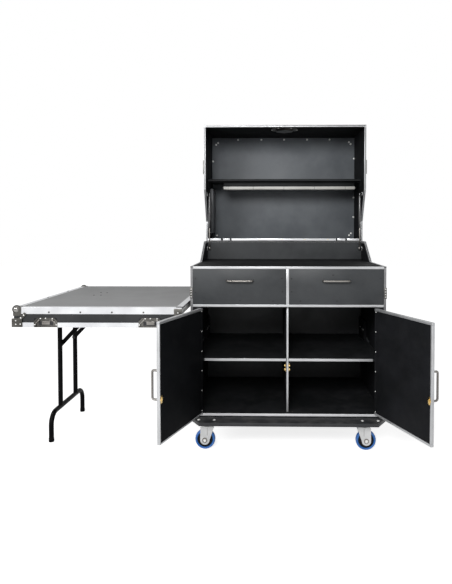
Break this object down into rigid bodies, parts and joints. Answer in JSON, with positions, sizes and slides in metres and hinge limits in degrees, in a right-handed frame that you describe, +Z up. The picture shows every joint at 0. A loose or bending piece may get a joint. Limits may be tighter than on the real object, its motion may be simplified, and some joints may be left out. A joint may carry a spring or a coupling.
{
  "type": "coffee_bar_flight_case",
  "caption": "Open black flight case fitted out as a coffee bar: raised lid with shelf, drawers, two-door cupboard, castor dolly, and its front cover set beside it as a side table",
  "frame": {"origin": "middle of the footprint of the whole open object, on the floor", "axes": "+X to the right as seen from the front, +Y to the back, +Z up; the case's own middle is at X 0.337"},
  "size_m": [1.9256, 1.3983, 1.7052],
  "materials": {
    "black_laminate": "black phenolic laminate on plywood, fine orange-peel grain, low sheen",
    "black_board": "black phenolic board, dull",
    "aluminium": "natural anodised extrusion, satin",
    "zinc_steel": "bright zinc plate, lightly dulled",
    "satin_steel": "satin nickel bar",
    "black_tube": "black gloss powder coat",
    "blue_rubber": "blue elastic tyre on a black nylon centre",
    "grey_plastic": "grey plastic trunking and lamp housing"
  },
  "bodies": {
    "case": {"side_left": "black_laminate", "side_right": "black_laminate", "back_board": "black_laminate", "base_floor": "black_board", "worktop": "black_laminate", "drawer_deck": "black_board", "cupboard_divider": "black_board", "drawer_divider": "black_board", "shelf_left": "black_board", "shelf_right": "black_board", "post_left": "black_laminate", "post_right": "black_laminate", "dolly_board": "black_board", "castor_plate_front_left": "zinc_steel", "castor_plate_front_right": "zinc_steel", "castor_plate_rear_left": "zinc_steel", "castor_plate_rear_right": "zinc_steel"},
    "lid": {"lid_top": "black_laminate", "lid_front": "black_laminate", "lid_rear": "black_laminate", "lid_left": "black_laminate", "lid_right": "black_laminate", "lid_shelf": "black_board", "light_bar": "grey_plastic", "cable_duct": "grey_plastic", "hinge_rail": "aluminium"},
    "table": {"table_top": "black_laminate", "table_front": "black_laminate", "table_rear": "black_laminate", "table_left": "black_laminate", "table_right": "black_laminate"},
    "legs": {"leg_frame": "black_tube"},
    "brace_f": {"brace_front": "black_tube"},
    "brace_r": {"brace_rear": "black_tube"},
    "latch_outer": {"latch_wing_outer": "zinc_steel"},
    "latch_inner": {"latch_wing_inner": "zinc_steel"},
    "cylinder_left": {"strut_cylinder_left": "black_tube"},
    "rod_left": {"strut_rod_left": "satin_steel"},
    "drawer_left": {"drawer_front_left": "black_laminate", "drawer_box_left": "black_board", "drawer_handle_left": "satin_steel"},
    "door_left_leaf": {"door_left": "black_laminate", "door_handle_left": "satin_steel"},
    "grip_left": {"side_grip_left": "zinc_steel"},
    "cylinder_right": {"strut_cylinder_right": "black_tube"},
    "rod_right": {"strut_rod_right": "satin_steel"},
    "drawer_right": {"drawer_front_right": "black_laminate", "drawer_box_right": "black_board", "drawer_handle_right": "satin_steel"},
    "door_right_leaf": {"door_right": "black_laminate", "door_handle_right": "satin_steel"},
    "grip_right": {"side_grip_right": "zinc_steel"},
    "swivel_front_left": {"castor_fork_front_left": "zinc_steel"},
    "roller_front_left": {"wheel_front_left": "blue_rubber"},
    "swivel_front_right": {"castor_fork_front_right": "zinc_steel"},
    "roller_front_right": {"wheel_front_right": "blue_rubber"},
    "swivel_rear_left": {"castor_fork_rear_left": "zinc_steel"},
    "roller_rear_left": {"wheel_rear_left": "blue_rubber"},
    "swivel_rear_right": {"castor_fork_rear_right": "zinc_steel"},
    "roller_rear_right": {"wheel_rear_right": "blue_rubber"}
  },
  "joints": [
    {"name": "lid_hinge", "type": "hinge", "parent": "case", "child": "lid", "pos_m": [0.3369, 0.4058, 1.0145], "axis": [1, 0, 0], "range_deg": [0, 90]},
    {"name": "strut_hinge_left", "type": "hinge", "parent": "lid", "child": "cylinder_left", "pos_m": [-0.1216, 0.3751, 1.3], "axis": [-1, 0, 0], "range_deg": [0, 4.5]},
    {"name": "strut_slide_left", "type": "slide", "parent": "cylinder_left", "child": "rod_left", "axis": [0, -0.0151, 0.9999], "range_m": [0, 0.0725]},
    {"name": "strut_hinge_right", "type": "hinge", "parent": "lid", "child": "cylinder_right", "pos_m": [0.7954, 0.3751, 1.3], "axis": [-1, 0, 0], "range_deg": [0, 4.5]},
    {"name": "strut_slide_right", "type": "slide", "parent": "cylinder_right", "child": "rod_right", "axis": [0, -0.0151, 0.9999], "range_m": [0, 0.0725]},
    {"name": "drawer_slide_left", "type": "slide", "parent": "case", "child": "drawer_left", "axis": [0, -1, 0], "range_m": [0, 0.4]},
    {"name": "drawer_slide_right", "type": "slide", "parent": "case", "child": "drawer_right", "axis": [0, -1, 0], "range_m": [0, 0.4]},
    {"name": "door_hinge_left", "type": "hinge", "parent": "case", "child": "door_left_leaf", "pos_m": [-0.0976, -0.2849, 0.44], "axis": [0, 0, 1], "range_deg": [0, 108]},
    {"name": "door_hinge_right", "type": "hinge", "parent": "case", "child": "door_right_leaf", "pos_m": [0.7747, -0.2849, 0.44], "axis": [0, 0, -1], "range_deg": [-55, 111.3]},
    {"name": "table_pull", "type": "slide", "parent": "case", "child": "table", "axis": [-1, 0, 0], "range_m": [0, 0.3]},
    {"name": "leg_fold", "type": "hinge", "parent": "table", "child": "legs", "pos_m": [-0.8701, 0.0181, 0.688], "axis": [0, -1, 0], "range_deg": [0, 88]},
    {"name": "brace_pin_front", "type": "hinge", "parent": "legs", "child": "brace_f", "pos_m": [-0.8701, -0.0819, 0.47], "axis": [0, 1, 0], "range_deg": [0, 134.6]},
    {"name": "brace_pin_rear", "type": "hinge", "parent": "legs", "child": "brace_r", "pos_m": [-0.8701, 0.1181, 0.47], "axis": [0, 1, 0], "range_deg": [0, 134.6]},
    {"name": "latch_turn_outer", "type": "hinge", "parent": "table", "child": "latch_outer", "pos_m": [-0.8021, -0.4389, 0.648], "axis": [0, -1, 0], "range_deg": [0, 90]},
    {"name": "latch_turn_inner", "type": "hinge", "parent": "table", "child": "latch_inner", "pos_m": [-0.3101, -0.4389, 0.648], "axis": [0, -1, 0], "range_deg": [0, 90]},
    {"name": "grip_hinge_left", "type": "hinge", "parent": "case", "child": "grip_left", "pos_m": [-0.1336, 0.2901, 0.522], "axis": [0, 1, 0], "range_deg": [0, 90]},
    {"name": "grip_hinge_right", "type": "hinge", "parent": "case", "child": "grip_right", "pos_m": [0.8074, 0.2901, 0.522], "axis": [0, -1, 0], "range_deg": [0, 90]},
    {"name": "castor_swivel_front_left", "type": "hinge", "parent": "case", "child": "swivel_front_left", "pos_m": [-0.0601, -0.2949, 0.1204], "axis": [0, 0, 1], "continuous": true},
    {"name": "wheel_spin_front_left", "type": "hinge", "parent": "swivel_front_left", "child": "roller_front_left", "pos_m": [-0.0721, -0.2949, 0.05], "axis": [0, 1, 0], "continuous": true},
    {"name": "castor_swivel_front_right", "type": "hinge", "parent": "case", "child": "swivel_front_right", "pos_m": [0.7079, -0.2949, 0.1204], "axis": [0, 0, 1], "continuous": true},
    {"name": "wheel_spin_front_right", "type": "hinge", "parent": "swivel_front_right", "child": "roller_front_right", "pos_m": [0.7199, -0.2949, 0.05], "axis": [0, 1, 0], "continuous": true},
    {"name": "castor_swivel_rear_left", "type": "hinge", "parent": "case", "child": "swivel_rear_left", "pos_m": [-0.0601, 0.3351, 0.1204], "axis": [0, 0, 1], "continuous": true},
    {"name": "wheel_spin_rear_left", "type": "hinge", "parent": "swivel_rear_left", "child": "roller_rear_left", "pos_m": [-0.0721, 0.3351, 0.05], "axis": [0, 1, 0], "continuous": true},
    {"name": "castor_swivel_rear_right", "type": "hinge", "parent": "case", "child": "swivel_rear_right", "pos_m": [0.7079, 0.3351, 0.1204], "axis": [0, 0, 1], "continuous": true},
    {"name": "wheel_spin_rear_right", "type": "hinge", "parent": "swivel_rear_right", "child": "roller_rear_right", "pos_m": [0.7199, 0.3351, 0.05], "axis": [0, 1, 0], "continuous": true}
  ],
  "couplings": [
    {"joint": "strut_hinge_left", "follows": "lid_hinge", "ratio": 0.0483},
    {"joint": "strut_slide_left", "follows": "lid_hinge", "m_per_rad": 0.04566},
    {"joint": "strut_hinge_right", "follows": "lid_hinge", "ratio": 0.0483},
    {"joint": "strut_slide_right", "follows": "lid_hinge", "m_per_rad": 0.04566},
    {"joint": "brace_pin_front", "follows": "leg_fold", "ratio": 1.527},
    {"joint": "brace_pin_rear", "follows": "leg_fold", "ratio": 1.527}
  ]
}
